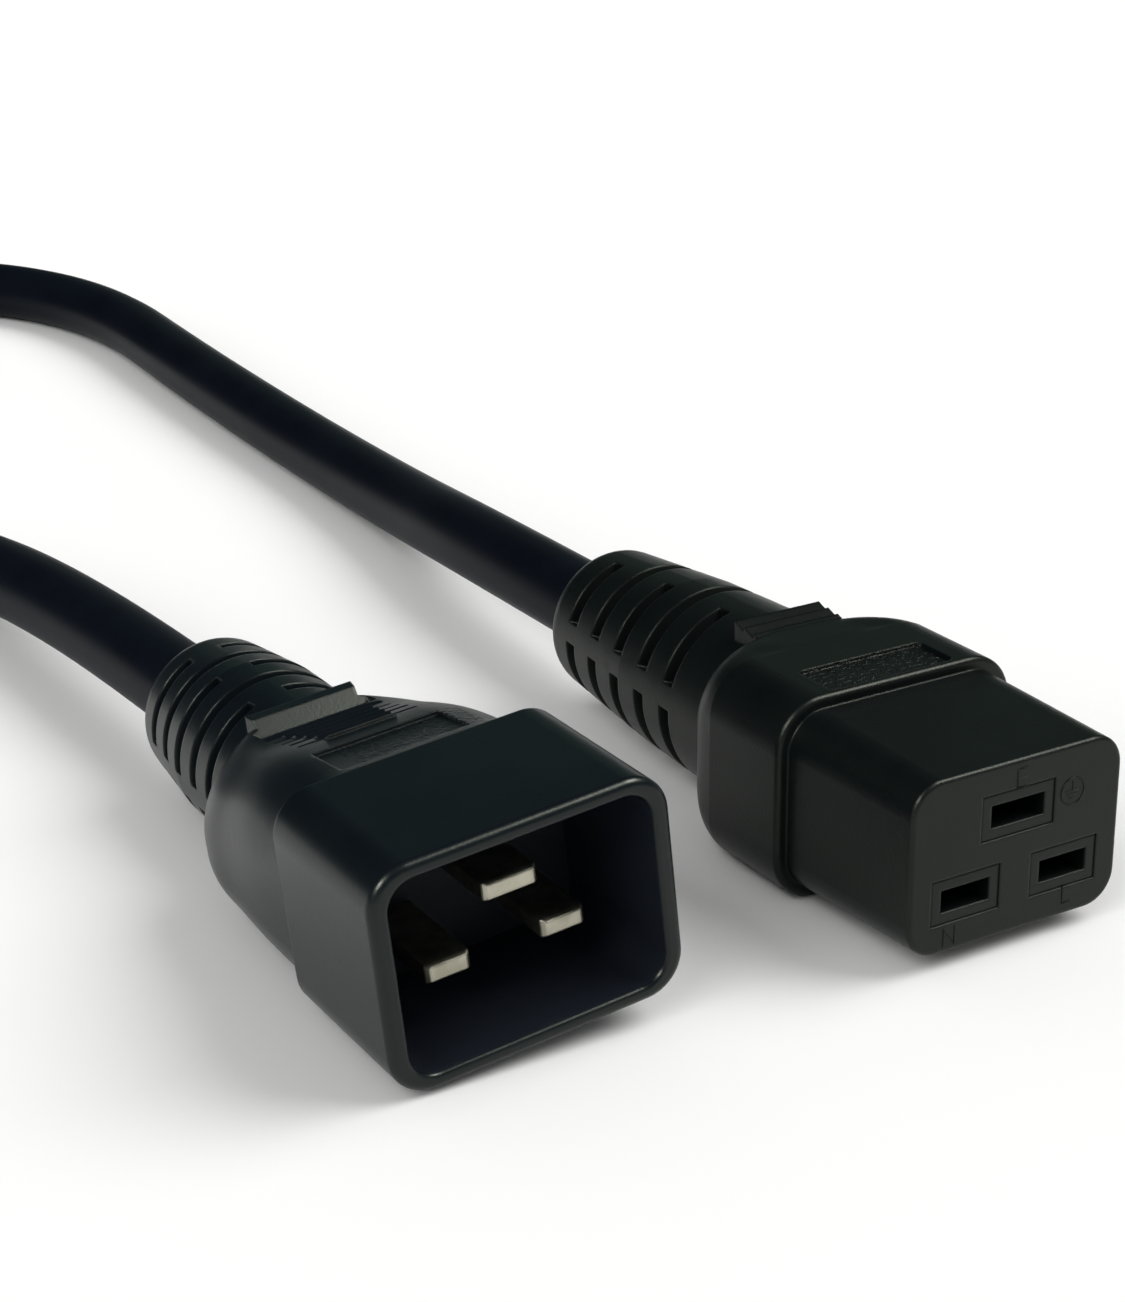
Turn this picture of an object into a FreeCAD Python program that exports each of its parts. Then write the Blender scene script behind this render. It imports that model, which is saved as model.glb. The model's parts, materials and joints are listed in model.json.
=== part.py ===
import FreeCAD, Part
import math
import os
import re
import Sketcher

# A moulded rack power lead: a C19 connector on one end, the C20 plug that it goes
# with on the other, and the round jacketed cord between them.
#
# World frame: +Z up, the floor at Z = 0, +Y from the mating face of the C19 towards
# its cord, the origin on the floor under the middle of the C19.
# Each connector is modelled in a frame of its own, with its mating face at Y = 0 and
# the middle of its shell at X = Z = 0, and is then laid down on the floor.

doc = FreeCAD.newDocument("PowerLead")

# ---------------------------------------------------------------------------
# Driving dimensions: millimetres and degrees
# ---------------------------------------------------------------------------
SIZES = [
    # the contact pattern that both halves share
    ("live_offset", 6.5, "line and neutral stand this far either side of the middle"),
    ("earth_offset", 8.0, "earth stands this far above the line and neutral row"),
    ("barrel_outside", 3.6, "crimp barrel, outside diameter"),
    ("wire_diameter", 2.3, "stripped and crimped conductor"),
    ("core_diameter", 3.9, "insulated core"),
    ("bundle_radius", 2.3, "the three cores stand this far from the middle of the cord"),
    ("sliding_gap", 0.1, "clearance round a piece pressed into a moulding"),
    ("least_flat", 0.3, "least straight edge left between two rounded corners"),
    # the cord
    ("cord_diameter", 10.5, "jacket, outside diameter"),
    ("bend_share", 0.45, "share of the shorter run that a bend takes up"),
    # C19 shell
    ("socket_face_width", 27.7, "mating face"),
    ("socket_face_height", 19.7, "mating face"),
    ("socket_face_corner", 3.8, "corner radius of the mating face"),
    ("socket_face_round", 0.5, "rounded rim of the mating face"),
    ("socket_nose_length", 20.4, "from the mating face to the collar"),
    ("socket_nose_draft", 1.6, "draft of each wall of the nose, degrees"),
    ("socket_collar_step", 1.4, "the collar stands this proud of the nose"),
    ("socket_collar_round", 0.6, "rounded front edge of the collar"),
    ("socket_collar_length", 12.8, "straight part of the collar"),
    ("socket_taper_length", 7.3, "shoulders between the collar and the round boot"),
    ("socket_live_drop", 3.95, "line and neutral lie this far below the middle"),
    # C19 shoulders: where each section stands, and how much of the collar it keeps
    ("socket_blend_1_at", 0.3, "share of the taper length"),
    ("socket_blend_1_width", 0.92, "share of the collar's extra width"),
    ("socket_blend_1_top", 0.92, "share of the collar's extra height, top"),
    ("socket_blend_1_base", 0.92, "share of the collar's extra height, underside"),
    ("socket_blend_1_corner", 0.12, "share of the way to the round boot"),
    ("socket_blend_2_at", 0.6, "share of the taper length"),
    ("socket_blend_2_width", 0.68, "share of the collar's extra width"),
    ("socket_blend_2_top", 0.68, "share of the collar's extra height, top"),
    ("socket_blend_2_base", 0.68, "share of the collar's extra height, underside"),
    ("socket_blend_2_corner", 0.4, "share of the way to the round boot"),
    ("socket_blend_3_at", 0.84, "share of the taper length"),
    ("socket_blend_3_width", 0.27, "share of the collar's extra width"),
    ("socket_blend_3_top", 0.27, "share of the collar's extra height, top"),
    ("socket_blend_3_base", 0.27, "share of the collar's extra height, underside"),
    ("socket_blend_3_corner", 0.78, "share of the way to the round boot"),
    # C19 boot
    ("socket_boot_drop", 0.15, "the cord lies this far below the middle of the shell"),
    ("socket_boot_length", 39.5, "round boot, from the shoulders to the cord"),
    ("socket_boot_root", 11.7, "radius where the boot leaves the shoulders"),
    ("socket_boot_middle", 10.85, "radius half way along"),
    ("socket_boot_tip", 9.1, "radius at the cord end"),
    ("socket_boot_round", 2.9, "rounded cord end"),
    ("socket_groove_first", 6.9, "from the cord end to the middle of the first groove"),
    ("socket_groove_pitch", 5.9, "groove to groove"),
    ("socket_groove_width", 2.2, "groove width"),
    ("socket_groove_depth", 1.5, "groove depth"),
    ("socket_groove_floor", 1.2, "groove width at its floor"),
    ("socket_side_web", 7.5, "half angle of the webs left at both sides, degrees"),
    ("socket_top_web", 24.0, "half angle of the web left on top, degrees"),
    ("socket_web_turn", 10.0, "the webs are turned this far about the cord, degrees"),
    # C19 thumb grip and nameplate recess
    ("socket_grip_start", 35.6, "front of the grip, from the mating face"),
    ("socket_grip_length", 7.4, "front to back"),
    ("socket_grip_width", 11.8, "side to side"),
    ("socket_grip_front", 11.5, "height of the front edge over the middle of the shell"),
    ("socket_grip_rise", 0.7, "rise from front to back"),
    ("socket_grip_tooth", 0.5, "depth of a serration"),
    ("socket_panel_start", 21.3, "nameplate recess, front edge"),
    ("socket_panel_length", 6.2, "nameplate recess, front to back"),
    ("socket_panel_width", 16.6, "nameplate recess, side to side"),
    ("socket_panel_corner", 0.8, "nameplate recess, corner radius"),
    ("socket_panel_depth", 0.45, "nameplate recess, depth below the collar"),
    # C19 contact carrier
    ("socket_tower_depth", 4.0, "insulating towers round the openings"),
    ("socket_tower_rim", 1.2, "plastic left round each opening"),
    ("socket_tower_recess", 0.1, "the towers end this far behind the face"),
    ("socket_slot_height", 2.6, "contact openings"),
    ("socket_live_slot", 6.35, "width of the line and neutral openings"),
    ("socket_earth_slot", 7.05, "width of the earth opening"),
    ("socket_carrier_width", 23.2, "carrier block"),
    ("socket_carrier_height", 14.4, "carrier block"),
    ("socket_carrier_corner", 1.5, "carrier block, corner radius"),
    ("socket_carrier_back", 30.0, "back of the carrier, from the mating face"),
    ("socket_carrier_wall", 2.0, "back wall of the carrier"),
    # C19 contacts
    ("contact_width", 7.4, "box of the female contact, outside"),
    ("contact_height", 3.4, "box of the female contact, outside"),
    ("contact_wall", 0.45, "contact strip"),
    ("contact_setback", 0.5, "from the tower to the box"),
    ("contact_box_length", 14.0, "box, front to back"),
    ("contact_tongue", 1.5, "strip between the box and the barrel"),
    ("contact_tongue_width", 2.4, "strip between the box and the barrel"),
    ("barrel_length", 7.0, "crimp barrel"),
    # C19 inner mould
    ("socket_inner_front_width", 21.2, "inner mould behind the carrier"),
    ("socket_inner_front_height", 14.0, "inner mould behind the carrier"),
    ("socket_inner_front_corner", 3.0, "inner mould behind the carrier"),
    ("socket_inner_waist_width", 16.0, "inner mould under the shoulders"),
    ("socket_inner_waist_height", 12.8, "inner mould under the shoulders"),
    ("socket_inner_waist_corner", 4.0, "inner mould under the shoulders"),
    ("inner_end_wall", 0.95, "inner mould left outside the cores at the jacket"),
    ("socket_jacket_grip", 28.0, "length of jacket held inside the boot"),
    # C20 shroud
    ("plug_shroud_width", 32.9, "shroud, outside"),
    ("plug_shroud_height", 24.6, "shroud, outside"),
    ("plug_shroud_corner", 4.5, "shroud, outside corner radius"),
    ("plug_shroud_length", 20.5, "from the rim to the body"),
    ("plug_side_wall", 2.05, "shroud wall at the sides"),
    ("plug_top_wall", 1.7, "shroud wall above and below"),
    ("plug_cavity_corner", 3.0, "inside corner radius"),
    ("plug_rim_outer", 0.9, "rounded outer edge of the rim"),
    ("plug_rim_inner", 0.5, "rounded inner edge of the rim"),
    ("plug_live_drop", 3.8, "line and neutral lie this far below the middle"),
    # C20 body
    ("plug_side_step", 0.65, "the body stands this far inside the shroud, sides"),
    ("plug_top_step", 0.3, "the body stands this far inside the shroud, top"),
    ("plug_base_step", 0.2, "the body stands this far inside the shroud, underside"),
    ("plug_body_top_corner", 9.0, "upper corner radius of the body"),
    ("plug_body_base_corner", 6.5, "lower corner radius of the body"),
    ("plug_taper_length", 29.0, "sloping body between the shroud and the round boot"),
    ("plug_blend_1_at", 0.224, "share of the taper length"),
    ("plug_blend_1_width", 1.02, "share of the body's extra width"),
    ("plug_blend_1_top", 0.78, "share of the body's extra height, top"),
    ("plug_blend_1_base", 1.0, "share of the body's extra height, underside"),
    ("plug_blend_1_corner", 0.02, "share of the way to the round boot"),
    ("plug_blend_2_at", 0.431, "share of the taper length"),
    ("plug_blend_2_width", 1.0, "share of the body's extra width"),
    ("plug_blend_2_top", 0.578, "share of the body's extra height, top"),
    ("plug_blend_2_base", 1.0, "share of the body's extra height, underside"),
    ("plug_blend_2_corner", 0.08, "share of the way to the round boot"),
    ("plug_blend_3_at", 0.603, "share of the taper length"),
    ("plug_blend_3_width", 0.98, "share of the body's extra width"),
    ("plug_blend_3_top", 0.303, "share of the body's extra height, top"),
    ("plug_blend_3_base", 1.0, "share of the body's extra height, underside"),
    ("plug_blend_3_corner", 0.2, "share of the way to the round boot"),
    ("plug_blend_4_at", 0.793, "share of the taper length"),
    ("plug_blend_4_width", 0.9, "share of the body's extra width"),
    ("plug_blend_4_top", 0.02, "share of the body's extra height, top"),
    ("plug_blend_4_base", 0.95, "share of the body's extra height, underside"),
    ("plug_blend_4_corner", 0.45, "share of the way to the round boot"),
    ("plug_blend_5_at", 0.914, "share of the taper length"),
    ("plug_blend_5_width", 0.52, "share of the body's extra width"),
    ("plug_blend_5_top", 0.0, "share of the body's extra height, top"),
    ("plug_blend_5_base", 0.6, "share of the body's extra height, underside"),
    ("plug_blend_5_corner", 0.75, "share of the way to the round boot"),
    # C20 boot
    ("plug_boot_drop", 3.7, "the cord lies this far below the middle of the shell"),
    ("plug_boot_length", 27.8, "round boot, from the body to the cord"),
    ("plug_boot_root", 10.35, "radius where the boot leaves the body"),
    ("plug_boot_middle", 10.25, "radius half way along"),
    ("plug_boot_tip", 8.8, "radius at the cord end"),
    ("plug_boot_round", 2.9, "rounded cord end"),
    ("plug_groove_first", 5.7, "from the cord end to the middle of the first groove"),
    ("plug_groove_pitch", 4.4, "groove to groove"),
    ("plug_groove_width", 1.7, "groove width"),
    ("plug_groove_depth", 1.4, "groove depth"),
    ("plug_groove_floor", 0.9, "groove width at its floor"),
    ("plug_side_web", 8.5, "half angle of the webs left at both sides, degrees"),
    ("plug_top_web", 11.5, "half angle of the web left on top, degrees"),
    ("plug_web_turn", -8.5, "the webs are turned this far about the cord, degrees"),
    # C20 thumb grip and nameplate recess
    ("plug_grip_start", 33.0, "front of the ribbed pad, from the rim"),
    ("plug_grip_length", 16.2, "front to back, with the stop ridge"),
    ("plug_grip_front_width", 8.0, "ribbed pad, front edge"),
    ("plug_grip_back_width", 12.8, "ribbed pad, back edge"),
    ("plug_grip_front", 10.2, "height of the first rib over the middle of the shell"),
    ("plug_grip_back", 6.1, "height of the last rib over the middle of the shell"),
    ("plug_grip_tooth", 0.55, "depth of a rib"),
    ("plug_ridge_length", 3.2, "stop ridge, front to back"),
    ("plug_ridge_ramp", 1.8, "sloping front of the stop ridge"),
    ("plug_ridge_height", 7.2, "top of the stop ridge over the middle of the shell"),
    ("plug_panel_start", 22.6, "nameplate recess, front edge"),
    ("plug_panel_length", 7.4, "nameplate recess, front to back"),
    ("plug_panel_width", 14.6, "nameplate recess, side to side"),
    ("plug_panel_depth", 0.4, "nameplate recess, depth"),
    # C20 pins and carrier
    ("pin_thickness", 2.0, "blades"),
    ("live_pin_width", 5.0, "line and neutral blades"),
    ("earth_pin_width", 6.0, "earth blade"),
    ("live_pin_setback", 5.8, "tips of the line and neutral blades, behind the rim"),
    ("earth_pin_setback", 3.3, "tip of the earth blade, behind the rim"),
    ("pin_tip_chamfer", 0.6, "chamfered blade tips"),
    ("plug_floor", 2.0, "floor of the shroud"),
    ("plug_carrier_width", 20.4, "block behind the floor"),
    ("plug_carrier_height", 13.8, "block behind the floor"),
    ("plug_carrier_corner", 1.5, "block behind the floor, corner radius"),
    ("plug_carrier_back", 32.0, "back of the carrier, from the rim"),
    ("plug_barrel_start", 24.0, "front of the crimp barrels, from the rim"),
    ("plug_inner_waist_width", 15.2, "inner mould under the slope"),
    ("plug_inner_waist_height", 12.0, "inner mould under the slope"),
    ("plug_inner_waist_corner", 4.0, "inner mould under the slope"),
    ("plug_jacket_grip", 26.0, "length of jacket held inside the boot"),
    # how the lead lies
    ("plug_aside", -54.2, "middle of the C20 shell, from the middle of the C19"),
    ("plug_behind", 6.1, "the rim of the C20 lies this far behind the C19 face"),
    ("plug_roll", -6.0, "the C20 leans on the corner of its shroud, degrees"),
]

GROOVES = 5
SOCKET_TEETH = 4
PLUG_TEETH = 6
SOCKET_BLENDS = 3
PLUG_BLENDS = 5
TINY = 1e-6
FLATNESS = 1e-3

# Sizes that follow from the driving ones.
DERIVED = [
    ("nose_growth", "socket_nose_length * tan(socket_nose_draft)"),
    ("collar_half_width", "socket_face_width / 2 + nose_growth + socket_collar_step"),
    ("collar_half_height", "socket_face_height / 2 + nose_growth + socket_collar_step"),
    ("collar_corner", "socket_face_corner + nose_growth + socket_collar_step"),
    ("socket_collar_back", "socket_nose_length + socket_collar_length"),
    ("socket_boot_start", "socket_collar_back + socket_taper_length"),
    ("socket_length", "socket_boot_start + socket_boot_length"),
    ("socket_earth_rise", "earth_offset - socket_live_drop"),
    ("socket_jacket_start", "socket_length - socket_jacket_grip"),
    ("socket_core_start", "socket_carrier_back - socket_carrier_wall"),
    ("socket_height", "collar_half_height"),
    ("socket_forward", "-socket_length / 2"),
    ("plug_half_width", "plug_shroud_width / 2 - plug_side_step"),
    ("plug_top", "plug_shroud_height / 2 - plug_top_step"),
    ("plug_base", "plug_shroud_height / 2 - plug_base_step"),
    ("plug_boot_start", "plug_shroud_length + plug_taper_length"),
    ("plug_length", "plug_boot_start + plug_boot_length"),
    ("plug_earth_rise", "earth_offset - plug_live_drop"),
    ("plug_jacket_start", "plug_length - plug_jacket_grip"),
    ("plug_core_start", "plug_barrel_start + barrel_length"),
    ("plug_grip_end", "plug_grip_start + plug_grip_length"),
    ("inner_end_radius", "bundle_radius + core_diameter / 2 + inner_end_wall"),
    # the C20 rests on the lower corner of its shroud or on its boot, whichever is lower
    ("plug_rest_on_shroud", "plug_shroud_corner + (plug_shroud_height / 2 - plug_shroud_corner)"
     " * cos(plug_roll) + (plug_shroud_width / 2 - plug_shroud_corner) * abs(sin(plug_roll))"),
    ("plug_rest_on_boot", "plug_boot_root + plug_boot_drop * cos(plug_roll)"),
    ("plug_height", "max(plug_rest_on_shroud; plug_rest_on_boot)"),
    ("plug_forward", "socket_forward + plug_behind"),
]

sheet = doc.addObject("Spreadsheet::Sheet", "Sizes")
for row, (alias, amount, note) in enumerate(SIZES, 1):
    sheet.set("A%d" % row, note)
    sheet.set("B%d" % row, str(amount))
    sheet.setAlias("B%d" % row, alias)
doc.recompute()

SIZE_NAMES = set(alias for alias, amount, note in SIZES)
DERIVED_NAMES = set(alias for alias, text in DERIVED)


def formula(text, own=""):
    """Name the sheet that each size in an expression comes from."""
    def owner(match):
        word = match.group(0)
        if word in SIZE_NAMES:
            return "Sizes." + word
        if word in DERIVED_NAMES:
            return own + word
        return word
    return re.sub(r"[a-z_][a-z_0-9]*", owner, text)


derived = doc.addObject("Spreadsheet::Sheet", "Derived")
for row, (alias, text) in enumerate(DERIVED, 1):
    derived.set("A%d" % row, alias)
    derived.set("B%d" % row, "=" + formula(text))
    derived.setAlias("B%d" % row, alias)
doc.recompute()


def number(text):
    """The value of an expression in the sizes above."""
    result = sheet.evalExpression(formula(text, "Derived."))
    return float(getattr(result, "Value", result))


def bind(item, prop, text):
    """Tie a property to an expression in the sizes above."""
    item.setExpression(prop, formula(text, "Derived."))


# ---------------------------------------------------------------------------
# Sketches
# ---------------------------------------------------------------------------
ORIGIN, H_AXIS, V_AXIS = (-1, -1, -2)
START, END, CENTRE = (1, 2, 3)


def origin_plane(body, role):
    """One of a body's own origin planes."""
    for item in body.Origin.OriginFeatures:
        if item.Role == role:
            return item
    raise ValueError(role)


def sketch_on(body, name, role):
    sketch = body.newObject("Sketcher::SketchObject", name)
    sketch.AttachmentSupport = [(origin_plane(body, role), "")]
    sketch.MapMode = "FlatFace"
    return sketch


def cross_section(body, name, station):
    """A sketch across the connector: its x runs along +X and its y along +Z."""
    sketch = sketch_on(body, name, "XZ_Plane")
    bind(sketch, "AttachmentOffset.Base.z", "-(%s)" % station)
    return sketch


def side_view(body, name):
    """A sketch in the plane of symmetry: its x runs along +Y and its y along +Z."""
    return sketch_on(body, name, "YZ_Plane")


def boot_view(body, name, maker, turn=None):
    """A side view whose x axis is the middle of the boot, turned about that axis."""
    sketch = sketch_on(body, name, "YZ_Plane")
    sketch.AttachmentOffset = FreeCAD.Placement(
        FreeCAD.Vector(0, 0, 0), FreeCAD.Rotation(FreeCAD.Vector(1, 0, 0), TINY))
    bind(sketch, "AttachmentOffset.Base.y", "-%s_boot_drop" % maker)
    if turn:
        bind(sketch, "AttachmentOffset.Rotation.Angle", turn)
    return sketch


def pin(sketch, direction, point, text):
    """Hold a point of a sketch at a signed distance from its origin."""
    amount = number(text)
    geometry, end = point
    if abs(amount) < TINY:
        axis = V_AXIS if direction == "DistanceX" else H_AXIS
        sketch.addConstraint(Sketcher.Constraint("PointOnObject", geometry, end, axis))
    elif amount > 0:
        index = sketch.addConstraint(
            Sketcher.Constraint(direction, ORIGIN, START, geometry, end, amount))
        bind(sketch, "Constraints[%d]" % index, text)
    else:
        index = sketch.addConstraint(
            Sketcher.Constraint(direction, geometry, end, ORIGIN, START, -amount))
        bind(sketch, "Constraints[%d]" % index, "-(%s)" % text)


def set_radius(sketch, geometry, text):
    index = sketch.addConstraint(Sketcher.Constraint("Radius", geometry, number(text)))
    bind(sketch, "Constraints[%d]" % index, text)


def draw_polygon(sketch, corners):
    """A closed outline through corners given as pairs of expressions."""
    points = [FreeCAD.Vector(number(x), number(y), 0) for x, y in corners]
    first = len(sketch.Geometry)
    count = len(points)
    for i in range(count):
        sketch.addGeometry(Part.LineSegment(points[i], points[(i + 1) % count]))
    for i in range(count):
        here = first + i
        after = first + (i + 1) % count
        sketch.addConstraint(Sketcher.Constraint("Coincident", here, END, after, START))
    for i, (x, y) in enumerate(corners):
        pin(sketch, "DistanceX", (first + i, START), x)
        pin(sketch, "DistanceY", (first + i, START), y)


def draw_box(sketch, x, y, width, height):
    """A rectangle of a given width and height about the point x, y."""
    left = "%s - (%s) / 2" % (x, width)
    right = "%s + (%s) / 2" % (x, width)
    low = "%s - (%s) / 2" % (y, height)
    high = "%s + (%s) / 2" % (y, height)
    draw_polygon(sketch, [(left, low), (right, low), (right, high), (left, high)])


def draw_rounded(sketch, half_width, top, base, top_corner, base_corner, x="0"):
    """A rounded rectangle: four sides, each tangent to a corner arc at both ends."""
    middle = number(x)
    reach = number(half_width)
    high = number(top)
    low = number(base)
    upper = number(top_corner)
    lower = number(base_corner)
    corners = [(middle + reach - lower, low + lower, lower),
               (middle + reach - upper, high - upper, upper),
               (middle - reach + upper, high - upper, upper),
               (middle - reach + lower, low + lower, lower)]
    first = len(sketch.Geometry)
    quarter = math.pi / 2
    arcs = []
    for i, (x_at, y_at, radius) in enumerate(corners):
        circle = Part.Circle(FreeCAD.Vector(x_at, y_at, 0), FreeCAD.Vector(0, 0, 1), radius)
        arcs.append(Part.ArcOfCircle(circle, (i - 1) * quarter, i * quarter))
    for i, arc in enumerate(arcs):
        previous = arcs[i - 1]
        sketch.addGeometry(Part.LineSegment(previous.EndPoint, arc.StartPoint))
        sketch.addGeometry(arc)
    count = 2 * len(corners)
    for i in range(count):
        here = first + i
        after = first + (i + 1) % count
        sketch.addConstraint(Sketcher.Constraint("Tangent", here, END, after, START))
    base_side, right_side, top_side, left_side = (first, first + 2, first + 4, first + 6)
    for side in (base_side, top_side):
        sketch.addConstraint(Sketcher.Constraint("Horizontal", side))
    for side in (right_side, left_side):
        sketch.addConstraint(Sketcher.Constraint("Vertical", side))
    pin(sketch, "DistanceX", (right_side, START), "%s + %s" % (x, half_width))
    pin(sketch, "DistanceX", (left_side, START), "%s - (%s)" % (x, half_width))
    pin(sketch, "DistanceY", (top_side, START), top)
    pin(sketch, "DistanceY", (base_side, START), base)
    for side, corner in ((base_side, base_corner), (right_side, top_corner),
                         (top_side, top_corner), (left_side, base_corner)):
        set_radius(sketch, side + 1, corner)


def draw_circle(sketch, x, y, radius):
    """A full circle about the point x, y."""
    centre = FreeCAD.Vector(number(x), number(y), 0)
    geometry = sketch.addGeometry(
        Part.Circle(centre, FreeCAD.Vector(0, 0, 1), number(radius)))
    pin(sketch, "DistanceX", (geometry, CENTRE), x)
    pin(sketch, "DistanceY", (geometry, CENTRE), y)
    set_radius(sketch, geometry, radius)


# ---------------------------------------------------------------------------
# Features
# ---------------------------------------------------------------------------
def new_body(name):
    body = doc.addObject("PartDesign::Body", name)
    body.Label = name
    return body


def pad_back(body, name, sketch, length):
    """A boss from a cross section towards the cord."""
    pad = body.newObject("PartDesign::Pad", name)
    pad.Profile = sketch
    pad.Reversed = True
    bind(pad, "Length", length)
    return pad


def pocket_back(body, name, sketch, length):
    """A cut from a cross section towards the cord."""
    pocket = body.newObject("PartDesign::Pocket", name)
    pocket.Profile = sketch
    bind(pocket, "Length", length)
    return pocket


def pad_across(body, name, sketch, width):
    """A boss from a side view, as wide to the left as to the right."""
    pad = body.newObject("PartDesign::Pad", name)
    pad.Profile = sketch
    pad.SideType = "Symmetric"
    bind(pad, "Length", width)
    return pad


def pocket_across(body, name, sketch, width):
    """A cut from a side view, as wide to the left as to the right."""
    pocket = body.newObject("PartDesign::Pocket", name)
    pocket.Profile = sketch
    pocket.SideType = "Symmetric"
    bind(pocket, "Length", width)
    return pocket


def loft(body, name, sections, kind="AdditiveLoft"):
    item = body.newObject("PartDesign::" + kind, name)
    item.Profile = sections[0]
    item.Sections = sections[1:]
    return item


def round_edges(body, name, radius, wanted):
    """Fillet the edges of the body so far that the test picks."""
    doc.recompute()
    base = body.Tip
    names = ["Edge%d" % (i + 1) for i, edge in enumerate(base.Shape.Edges) if wanted(edge)]
    fillet = body.newObject("PartDesign::Fillet", name)
    fillet.Base = (base, names)
    bind(fillet, "Radius", radius)
    return fillet


def edge_at(station, least=0.0, most=1000.0):
    """A test for edges in one cross section, within a range of distance from the middle."""
    place = number(station)

    def test(edge):
        box = edge.BoundBox
        flat = max(abs(box.YMin - place), abs(box.YMax - place)) < FLATNESS
        middle = edge.valueAt((edge.FirstParameter + edge.LastParameter) / 2)
        reach = math.hypot(middle.x, middle.z)
        return flat and least < reach < most
    return test


def seat(item, maker):
    """Lay a piece of a connector down with that connector."""
    item.Placement = FreeCAD.Placement(
        FreeCAD.Vector(0, 0, 0), FreeCAD.Rotation(FreeCAD.Vector(0, 1, 0), TINY))
    bind(item, "Placement.Base.y", maker + "_forward")
    bind(item, "Placement.Base.z", maker + "_height")
    if maker == "plug":
        bind(item, "Placement.Base.x", "plug_aside")
        bind(item, "Placement.Rotation.Angle", "plug_roll")


# ---------------------------------------------------------------------------
# Shells: the forms that both connectors share
# ---------------------------------------------------------------------------
def shoulder_sections(body, maker, front, start, blends):
    """Cross sections from the shell to the round boot, closing in step by step."""
    half_width, top, base, top_corner, base_corner = front
    radius = maker + "_boot_root"
    drop = maker + "_boot_drop"
    first = cross_section(body, maker + "_shoulder_0", start)
    draw_rounded(first, half_width, top, "-(%s)" % base, top_corner, base_corner)
    sections = [first]
    for i in range(1, blends + 1):
        share = "%s_blend_%d_" % (maker, i)
        station = "%s + %s_taper_length * %sat" % (start, maker, share)
        wide = "(%s + (%s - %s) * %swidth)" % (radius, half_width, radius, share)
        high = "(%s - %s + (%s - %s + %s) * %stop)" % (
            radius, drop, top, radius, drop, share)
        low = "(%s + %s + (%s - %s - %s) * %sbase)" % (
            radius, drop, base, radius, drop, share)
        corners = []
        for corner in (top_corner, base_corner):
            rounder = "%s + (%s - %s) * %scorner" % (corner, radius, corner, share)
            corners.append("min(%s; %s - least_flat; (%s + %s) / 2 - least_flat)" % (
                rounder, wide, high, low))
        sketch = cross_section(body, "%s_shoulder_%d" % (maker, i), station)
        draw_rounded(sketch, wide, high, "-" + low, corners[0], corners[1])
        sections.append(sketch)
    last = cross_section(body, "%s_shoulder_end" % maker, maker + "_boot_start")
    draw_circle(last, "0", "-" + drop, radius)
    sections.append(last)
    return sections


def add_boot(body, maker):
    """The round strain relief: a turned cone with a rounded end and ring grooves."""
    start = maker + "_boot_start"
    end = maker + "_length"
    profile = boot_view(body, maker + "_boot_profile", maker)
    draw_polygon(profile, [
        (start, "0"), (end, "0"), (end, maker + "_boot_tip"),
        ("%s + %s_boot_length / 2" % (start, maker), maker + "_boot_middle"),
        (start, maker + "_boot_root")])
    boot = body.newObject("PartDesign::Revolution", maker + "_boot")
    boot.Profile = profile
    boot.ReferenceAxis = (profile, ["H_Axis"])
    boot.Angle = 360
    round_edges(body, maker + "_boot_end", maker + "_boot_round", edge_at(end))


def boot_radius(maker, station):
    """The outside of the boot, whose two turned cones bulge at the middle."""
    along = "(2 * (%s - %s_boot_start) / %s_boot_length)" % (station, maker, maker)
    near = "%s_boot_root + (%s_boot_middle - %s_boot_root) * %s" % (maker, maker, maker, along)
    far = "%s_boot_middle + (%s_boot_tip - %s_boot_middle) * (%s - 1)" % (
        maker, maker, maker, along)
    return "min(%s; %s)" % (near, far)


def cut_arc(body, name, maker, rings, middle, spread):
    """Ring grooves with sloping walls, swept equally to both sides of their section.

    The section stands in a plane through the axis of the boot, at an angle from the
    top towards +X.
    """
    sketch = boot_view(body, name + "_profile", maker, "%s + %s_web_turn" % (middle, maker))
    for ring in rings:
        station = "(%s_length - %s_groove_first - %s_groove_pitch * %d)" % (
            maker, maker, maker, ring)
        surface = boot_radius(maker, station)
        floor = "%s - %s_groove_depth" % (surface, maker)
        outside = "%s + %s_groove_depth" % (surface, maker)
        mouth = maker + "_groove_width / 2"
        foot = maker + "_groove_floor / 2"
        draw_polygon(sketch, [
            (station + " - " + foot, floor), (station + " + " + foot, floor),
            (station + " + " + mouth, surface), (station + " + " + mouth, outside),
            (station + " - " + mouth, outside), (station + " - " + mouth, surface)])
    groove = body.newObject("PartDesign::Groove", name)
    groove.Profile = sketch
    groove.ReferenceAxis = (sketch, ["H_Axis"])
    groove.Midplane = True
    bind(groove, "Angle", spread)


def add_grooves(body, maker):
    """Ring grooves broken by webs: at both sides, and on top at every other ring."""
    rings = range(GROOVES)
    side = maker + "_side_web"
    top = maker + "_top_web"
    half_turn = "180 - 2 * " + side
    quarter = "90 - %s - %s" % (side, top)
    quarter_middle = "(90 - %s + %s) / 2" % (side, top)
    cut_arc(body, maker + "_grooves_under", maker, rings, "180", half_turn)
    cut_arc(body, maker + "_grooves_over", maker, rings[1::2], "0", half_turn)
    cut_arc(body, maker + "_grooves_right", maker, rings[0::2], quarter_middle, quarter)
    cut_arc(body, maker + "_grooves_left", maker, rings[0::2], "-" + quarter_middle, quarter)


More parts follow.
